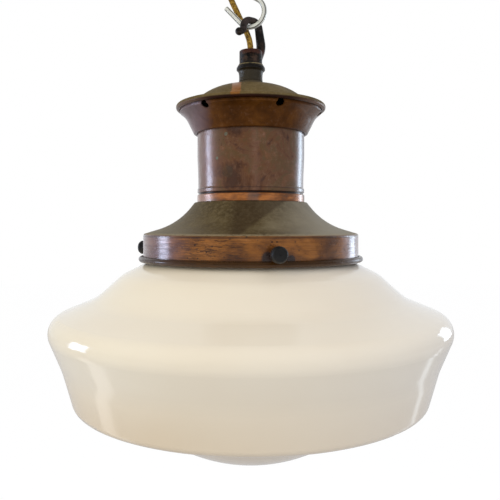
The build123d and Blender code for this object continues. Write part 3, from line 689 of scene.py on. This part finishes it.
def band_copper(finish, across, height, clouds, scratch, specks):
    """The band's orange-brown with scratches, specks and a golden lip, a painted violet sheen at both
    sides, painted shade beside the right highlight and painted shadows of the front thumb screw.
    """
    wavy = across + clouds * 0.01
    band = finish.ramp(
        clouds,
        (0.34, tint(96, 55, 20)),
        (0.45, tint(132, 80, 28)),
        (0.55, tint(158, 98, 32)),
        (0.68, tint(176, 113, 50)),
    )
    band = finish.blend(scratch * 0.8, band, tint(52, 29, 12))
    band = finish.blend(specks * 0.85, band, tint(34, 20, 14))
    # Painted shade: a dark stripe beside the right highlight
    band = finish.blend(wavy.band(0.052, 0.064, 0.005) * 0.6, band, tint(74, 46, 32))
    # Painted violet sheen at both sides, where the windows' light falls
    violet_sheen = (wavy.fade(-0.030, -0.054) * 0.65).most(wavy.fade(0.064, 0.076) * 0.6)
    band = finish.blend(violet_sheen, band, tint(114, 88, 96))
    # Painted shadows of the front thumb screw
    for place, size in SCREW_SHADOWS:
        screw_shadow = finish.spot(place, size, clouds - 0.5)
        band = finish.blend(screw_shadow * 0.85, band, tint(38, 34, 38))
    lip = height.fade(GALLERY_FOOT + 0.0050, GALLERY_FOOT + 0.0040)
    band = finish.blend(lip * 0.9, band, tint(58, 36, 6))
    line = height.band(BAND_TOP - 0.0020, BAND_TOP - 0.0008, 0.0005)
    return finish.blend(line * 0.6, band, tint(50, 30, 18)), lip


def skirt_dust(finish, across, height, grit):
    """The skirt's olive dust, made paler at both sides as painted light, with a painted dark reflection
    on its front and a worn edge at its foot.
    """
    dust = finish.noise(34.0, 6.0, 0.65)
    skirt = finish.ramp(
        dust,
        (0.32, tint(64, 51, 25)),
        (0.5, tint(82, 68, 39)),
        (0.7, tint(102, 89, 59)),
    )
    skirt = finish.blend(grit.fade(0.42, 0.68) * 0.45, skirt, tint(124, 110, 82))
    wavy = across + dust * 0.03
    # Painted light: the sides paler, the right more, as if lit from there
    painted_side_light = wavy.fade(0.010, 0.080) * 0.9 + wavy.fade(-0.010, -0.060) * 0.42
    skirt = finish.blend(painted_side_light, skirt, tint(148, 140, 120))
    # Painted dark reflection across the skirt's front, bounded by a slanting edge
    slope = across - (height - REFLECTION_FOOT) * REFLECTION_SLOPE
    dark_reflection = (slope + dust * 0.004).fade(0.002, -0.003) * (across + dust * 0.01).fade(-0.014, -0.004)
    dark_reflection = dark_reflection * finish.axis("Y").fade(0.0, -0.02)
    skirt = finish.blend(dark_reflection * 0.6, skirt, tint(54, 38, 20))
    worn_and_lit = height.band(BAND_TOP - 0.0002, BAND_TOP + 0.0009, 0.0004) * grit.fade(0.35, 0.5)
    return finish.blend(worn_and_lit * 0.6, skirt, tint(150, 134, 104))


def gallery_finish():
    """Orange-brown copper on the band, scratched along its length, and olive dust on the skirt."""
    finish = Finish("gallery_copper")
    height = finish.axis("Z")
    across = finish.axis("X")
    clouds = finish.noise(46.0, 6.0, 0.62, finish.stretched(1.0, 1.0, 1.6), 0.4)
    streaks = finish.noise(110.0, 5.0, 0.75, finish.stretched(0.35, 0.35, 16.0))
    hairs = finish.noise(240.0, 3.0, 0.8, finish.stretched(0.25, 0.25, 9.0)).fade(0.52, 0.60)
    scores = finish.noise(170.0, 3.0, 0.75, finish.stretched(0.8, 0.8, 6.0)).fade(0.53, 0.58)
    scores = scores * (across + clouds * 0.02).band(-0.034, 0.006, 0.008)
    wear = across.band(-0.058, -0.010, 0.014) * 0.5 + finish.noise(14.0, 2.0).fade(0.44, 0.62) * 0.5
    scratch = (streaks.fade(0.48, 0.60).most(hairs) * (wear * 0.75 + 0.25)).most(scores)
    specks = finish.pits(240.0, 0.24) * finish.noise(40.0, 2.0).fade(0.46, 0.60)
    for place in BAND_SPECKS:
        specks = specks.most(finish.spot(place, SPECK_SIZE, clouds))
    grit = finish.noise(420.0, rough=0.75)
    band, lip = band_copper(finish, across, height, clouds, scratch, specks)
    skirt = skirt_dust(finish, across, height, grit)

    above = height.fade(BAND_TOP - 0.0008, BAND_TOP + 0.0002)
    below = 1 - above
    colour = finish.blend(above, band, skirt)
    rough = finish.mix(above, clouds * 0.28 + scratch * 0.2 + 0.14, grit * 0.2 + 0.5)
    relief = clouds * 2.0 - scratch * 0.6 - specks + finish.lines(700.0, 0.05, 1.0) * 0.4
    normal = finish.bump(relief + grit * above * 1.4, 0.3, 0.0004)
    coat = below * (1 - streaks.fade(0.46, 0.58) * 0.45) * (1 - lip * 0.6)
    return lacquered(finish, colour, rough, normal, coat, 0.17, below * COPPER_METALLIC)


def dome_finish():
    """Olive dust on the dome, one patch rubbed to bare copper, and a rim darkened as painted shade,
    lighter at its sides as painted light.
    """
    finish = Finish("dome_patina")
    height = finish.axis("Z")
    across = finish.axis("X")
    dust = finish.noise(38.0, 6.0, 0.65)
    grit = finish.noise(460.0, rough=0.75)
    colour = finish.ramp(
        dust,
        (0.32, tint(80, 64, 32)),
        (0.5, tint(98, 82, 48)),
        (0.7, tint(114, 98, 64)),
    )
    colour = finish.blend(grit.fade(0.42, 0.68) * 0.4, colour, tint(130, 114, 80))
    patch = (across + dust * 0.004).band(-0.0120, -0.0055, 0.0005)
    patch = patch * finish.axis("Y").fade(-0.010, -0.014)
    patch = patch * (grit * 0.004 + height).fade(CREASE - 0.0035, CREASE - 0.0015)
    bare = finish.ramp(grit, (0.3, tint(134, 82, 34)), (0.7, tint(170, 114, 60)))
    colour = finish.blend(patch * 0.85, colour, bare)
    # Painted shade on the rim's underside, with painted light at its sides
    shaded_rim = height.fade(CREASE - 0.0024, CREASE - 0.0038)
    dark = finish.ramp(dust, (0.3, tint(24, 5, 0)), (0.7, tint(48, 18, 4)))
    dark = finish.blend(abs(across).fade(0.026, 0.050), dark, tint(104, 78, 62))
    colour = finish.blend(shaded_rim, colour, dark)
    clean = shaded_rim.most(patch)
    rough = finish.mix(clean, grit * 0.2 + 0.5, 0.3)
    normal = finish.bump(dust * 2.0 + grit, 0.3, 0.0004)
    return finish.close(colour, rough, clean * COPPER_METALLIC, normal, IOR=1.25)


# Bronze, zinc, brass and steel

def bronze_finish():
    """Black-brown patina, rusty round the top of the hook's cap and olive below its ring."""
    finish = Finish("dark_bronze")
    height = finish.axis("Z")
    clouds = finish.noise(160.0, 5.0, 0.6)
    grit = finish.noise(900.0, rough=0.75)
    colour = finish.ramp(
        clouds,
        (0.32, tint(8, 4, 2)),
        (0.50, tint(22, 15, 9)),
        (0.70, tint(58, 42, 28)),
    )
    colour = finish.blend(grit.fade(0.55, 0.75) * 0.3, colour, tint(84, 76, 66))
    # Worn patches on the arch, lightened further as a painted highlight
    worn_and_lit = height.band(*ARCH_WEAR_AND_HIGHLIGHT, 0.0015) * (clouds * 0.6 + grit * 0.4).fade(0.44, 0.58)
    colour = finish.blend(worn_and_lit * 0.45, colour, tint(76, 64, 64))
    on_cap = finish.radius().fade(CAP_REACH + 0.0005, CAP_REACH - 0.0005)
    rust = on_cap * height.band(CAP_TOP - 0.0035, CAP_TOP + 0.0015, 0.0008)
    colour = finish.blend(rust * clouds.fade(0.34, 0.52) * 0.85, colour, tint(72, 32, 16))
    brown = on_cap * height.band(CAP_TOP - 0.0095, CAP_TOP - 0.0025, 0.0010)
    colour = finish.blend(brown * clouds.fade(0.46, 0.60) * 0.6, colour, tint(86, 62, 46))
    olive = height.fade(LOCK_RING_TOP - 0.0036, LOCK_RING_TOP - 0.0071)
    colour = finish.blend(olive * 0.62, colour, tint(70, 62, 44))
    # Painted highlight along the top edge of the lock ring
    rubbed_and_glint = height.band(LOCK_RING_TOP - 0.0014, LOCK_RING_TOP - 0.0007, 0.0002)
    colour = finish.blend(rubbed_and_glint * clouds.fade(0.36, 0.5) * 0.7, colour, tint(150, 134, 92))
    normal = finish.bump(clouds * 1.5 + grit, 0.4, 0.0004)
    return finish.close(colour, clouds * 0.25 + grit * 0.1 + 0.2, 0.2, normal, IOR=1.5)


def seat_finish():
    """Dull olive brass under the coupler."""
    finish = Finish("patina_brass")
    clouds = finish.noise(150.0, 5.0, 0.6)
    grit = finish.noise(900.0, rough=0.75)
    colour = finish.ramp(clouds, (0.3, tint(66, 58, 42)), (0.7, tint(104, 92, 68)))
    normal = finish.bump(clouds + grit * 0.6, 0.3, 0.0003)
    return finish.close(colour, clouds * 0.3 + 0.35, 0.2, normal)


def zinc_finish():
    """Bright plated wire, with dark lines painted along its sides as shade, and dull grey spots."""
    finish = Finish("zinc_wire")
    clouds = finish.noise(260.0, 5.0, 0.65)
    fine = finish.lines(1500.0, 1.0, 0.2)
    colour = finish.ramp(
        clouds,
        (0.32, tint(200, 202, 194)),
        (0.44, tint(240, 242, 232)),
        (0.7, tint(250, 251, 244)),
    )
    through = finish.axis("X") * WIRE_NORMAL[0] + finish.axis("Y") * WIRE_NORMAL[1]
    # Painted shade: dark lines along both sides of the wire
    painted_side_shade = abs(through).band(0.0011, 0.0017, 0.00012) * clouds.fade(0.26, 0.46)
    colour = finish.blend(painted_side_shade * 0.92, colour, tint(84, 80, 66))
    normal = finish.bump(clouds * 0.4 + fine * 0.3, 0.2, 0.0003)
    return finish.close(colour, clouds * 0.2 + fine * 0.06 + 0.1, 0.35, normal)


def brass_finish():
    """Tarnished brass, brown in clouds, with fine turning lines."""
    finish = Finish("tarnished_brass")
    clouds = finish.noise(140.0, 5.0, 0.6)
    colour = finish.ramp(
        clouds,
        (0.3, tint(112, 82, 38)),
        (0.55, tint(160, 126, 66)),
        (0.75, tint(190, 156, 92)),
    )
    normal = finish.bump(clouds + finish.lines(1200.0, 0.05, 1.0) * 0.5, 0.2, 0.0003)
    return finish.close(colour, clouds * 0.3 + 0.2, 0.9, normal)


def steel_finish(name, dark, light, rough):
    """Plain metal with upright drawing lines, from its two colours and its least roughness."""
    finish = Finish(name)
    clouds = finish.noise(260.0)
    fine = finish.lines(1800.0, 1.0, 0.1)
    colour = finish.ramp(clouds, (0.3, dark), (0.7, light))
    normal = finish.bump(fine, 0.2, 0.0002)
    return finish.close(colour, clouds * 0.15 + fine * 0.1 + rough, 0.9, normal)


def black_finish():
    """Black screws, dusty in their grain and worn to grey in places."""
    finish = Finish("black_screws")
    clouds = finish.noise(300.0, 5.0, 0.6)
    grit = finish.noise(1400.0, rough=0.75)
    colour = finish.ramp(
        clouds,
        (0.35, tint(9, 8, 8)),
        (0.6, tint(18, 16, 15)),
        (0.8, tint(36, 32, 28)),
    )
    colour = finish.blend(grit.fade(0.6, 0.78) * 0.35, colour, tint(84, 76, 66))
    normal = finish.bump(grit + clouds, 0.3, 0.0003)
    return finish.close(colour, clouds * 0.3 + 0.38, 0.0, normal)


# Glass and porcelain

def opal_finish():
    """Opaque cream glass, with painted warm light low down on the left, under a clear polished skin."""
    finish = Finish("opal_glass")
    drift = finish.noise(7.0, 3.0, 0.5, finish.stretched(1.0, 1.0, 1.6), 0.3)
    colour = finish.ramp(drift, (0.3, tint(236, 225, 204)), (0.7, tint(242, 234, 216)))
    leftward = (0.75 - finish.axis("X") * 2.5).clamped()
    # Painted warm light on the lower left of the glass
    low = finish.axis("Z").fade(*GLASS_WARM_LIGHT) * leftward
    colour = finish.blend(low * 0.6, colour, tint(219, 197, 164))
    seeds = finish.pits(120.0, 0.05) * finish.noise(9.0, 2.0).fade(0.5, 0.62)
    colour = finish.blend(seeds * 0.35, colour, tint(196, 180, 150))
    normal = finish.bump(finish.noise(22.0, 2.0, 0.4, twist=0.2), 0.05, 0.002)
    return finish.close(colour, finish.noise(60.0, 3.0) * 0.05 + 0.085, 0.0, normal, IOR=1.5)


def porcelain_finish():
    """White porcelain under its glaze."""
    finish = Finish("glazed_porcelain")
    cloud = finish.noise(120.0, 3.0)
    colour = finish.ramp(cloud, (0.3, tint(214, 208, 194)), (0.7, tint(234, 230, 220)))
    normal = finish.bump(cloud, 0.1, 0.0003)
    return finish.close(colour, cloud * 0.1 + 0.12, 0.0, normal, Coat_Weight=0.5)


def bulb_finish():
    """Clear glass with faint smears."""
    finish = Finish("bulb_glass")
    smear = finish.noise(60.0, 3.0)
    clear = {"IOR": 1.45, "Transmission_Weight": 1.0}
    return finish.close(tint(250, 252, 252), smear * 0.04 + 0.01, **clear)


def dress_all():
    """Every CAD node that keeps its mesh gets its finish."""
    dress(zinc_finish(), "s_hook")
    dress(bronze_finish(), "suspension_hook", "hook_grub_screw", "lock_ring", "coupler")
    dress(seat_finish(), "seat_washer")
    dress(dome_finish(), "dome_cap")
    dress(collar_finish(), "vent_collar")
    dress(neck_finish(), "neck_tube")
    dress(gallery_finish(), "gallery")
    brass = brass_finish()
    dress(brass, "threaded_tube", "dome_nut", "thumb_screw_nuts", "holder_cap", "holder_cap_ring")
    dress(brass, "holder_shell", "shade_ring", "holder_terminals", "plunger_left", "plunger_right")
    fixings = steel_finish("steel_fixings", tint(120, 118, 114), tint(176, 174, 170), 0.28)
    dress(fixings, "dome_washer", "terminal_screws")
    springs = steel_finish("spring_wire", tint(150, 150, 152), tint(200, 200, 204), 0.2)
    dress(springs, "plunger_spring_left", "plunger_spring_right")
    dress(black_finish(), "thumb_screw_front", "thumb_screw_back", "thumb_screw_left")
    dress(opal_finish(), "glass_shade")
    dress(porcelain_finish(), "holder_insulator")
    cap = steel_finish("bulb_cap", tint(176, 176, 178), tint(214, 214, 216), 0.22)
    dress(cap, "bulb_cap")
    solder = steel_finish("solder", tint(120, 120, 122), tint(170, 170, 172), 0.35)
    dress(solder, "bulb_contacts")
    dress(bulb_finish(), "bulb_glass", "bulb_stem")
    filament = steel_finish("filament_wire", tint(70, 70, 74), tint(120, 120, 124), 0.35)
    dress(filament, "bulb_filament")


dress_all()


# Floor, daylight and lamps

def lay_floor():
    """A wide pale floor, white to the camera beyond the shadow."""
    shape = bmesh.new()
    place = Matrix.Translation((0, 0, FLOOR_HEIGHT))
    bmesh.ops.create_grid(shape, x_segments=2, y_segments=2, size=FLOOR_HALF, matrix=place)
    floor = placed("floor", to_mesh("floor", shape))
    finish = Finish("pale_floor")
    light = finish.node("ShaderNodeBsdfDiffuse", None, {"Color": FLOOR_COLOUR})
    white = finish.node("ShaderNodeEmission", None, {"Color": WHITE, "Strength": FLOOR_GLOW})
    seen = finish.ray("Is Camera Ray").most(finish.ray("Is Transmission Ray"))
    seen = seen.most(finish.ray("Is Glossy Ray") * FLOOR_SHEEN)
    mixed = finish.node("ShaderNodeMixShader", None, {0: seen * FLOOR_WHITE, 1: light, 2: white})
    floor.data.materials.append(finish.end(mixed))


def hang_sky():
    """Soft daylight all round, white to the camera and, behind the object, in reflections."""
    sky = Finish("daylight", bpy.data.worlds, "Generated")
    behind = {"From Min": ROOM_EDGE, "From Max": 1.0, "To Min": ROOM_SHEEN, "To Max": 1.0}
    room = sky.node("ShaderNodeMapRange", None, {0: sky.axis("Y"), **behind})
    sides = {"From Min": -1.0, "From Max": 1.0}
    rightward = sky.node("ShaderNodeMapRange", None, {0: sky.axis("X"), **sides})
    hue = sky.blend(rightward, SKY_LEFT, SKY_RIGHT)
    daylight = sky.node("ShaderNodeBackground", None, {"Color": hue, "Strength": DAYLIGHT})
    sheen = sky.node("ShaderNodeBackground", None, {"Color": ROOM_HUE, "Strength": room})
    white = sky.node("ShaderNodeBackground", None, {"Color": WHITE, "Strength": 1.0})
    glossy = sky.ray("Is Glossy Ray")
    through = sky.ray("Is Camera Ray").most(sky.ray("Is Transmission Ray"))
    lit = sky.node("ShaderNodeMixShader", None, {0: glossy, 1: daylight, 2: sheen})
    seen = sky.node("ShaderNodeMixShader", None, {0: through, 1: lit, 2: white})
    bpy.context.scene.world = sky.end(seen, "ShaderNodeOutputWorld")


def hang_lamp(name, azimuth, height, away, size, power, colour, mirrored=True):
    """A soft box on the given side of the object, seen in its reflections or not."""
    data = bpy.data.lights.new(name, "AREA")
    data.shape = "RECTANGLE"
    data.size, data.size_y = size
    data.energy = power
    data.color = colour
    lamp = placed(name, data)
    lamp.visible_glossy = mirrored
    lamp.location = (sin(radians(azimuth)) * away, -cos(radians(azimuth)) * away, height)
    lamp.rotation_euler = (LAMP_AIM - lamp.location).to_track_quat("-Z", "Y").to_euler()


bpy.context.scene.view_settings.view_transform = "Standard"
lay_floor()
hang_sky()

# Each lamp's azimuth, height, distance from the axis, size, power and colour
hang_lamp("left_window", -99, -0.10, 1.7, (0.44, 0.60), 6.4, (0.62, 0.75, 1.0))
hang_lamp("right_window", 130, -0.10, 1.8, (0.46, 0.60), 3.9, (0.70, 0.84, 1.0))
hang_lamp("low_left_strip", -97, -0.776, 0.695, (0.15, 0.46), 0.20, (1.0, 0.96, 0.92))
hang_lamp("low_right_strip", 117.8, -0.686, 0.736, (0.07, 0.46), 0.10, (0.84, 0.94, 1.0))
hang_lamp("front_left_softbox", -42, 0.70, 2.3, (1.4, 2.0), 17.5, (1.0, 0.93, 0.79), mirrored=False)
hang_lamp("front_right_softbox", 36, 0.70, 2.3, (1.4, 2.0), 13.5, (0.91, 0.96, 1.0), mirrored=False)
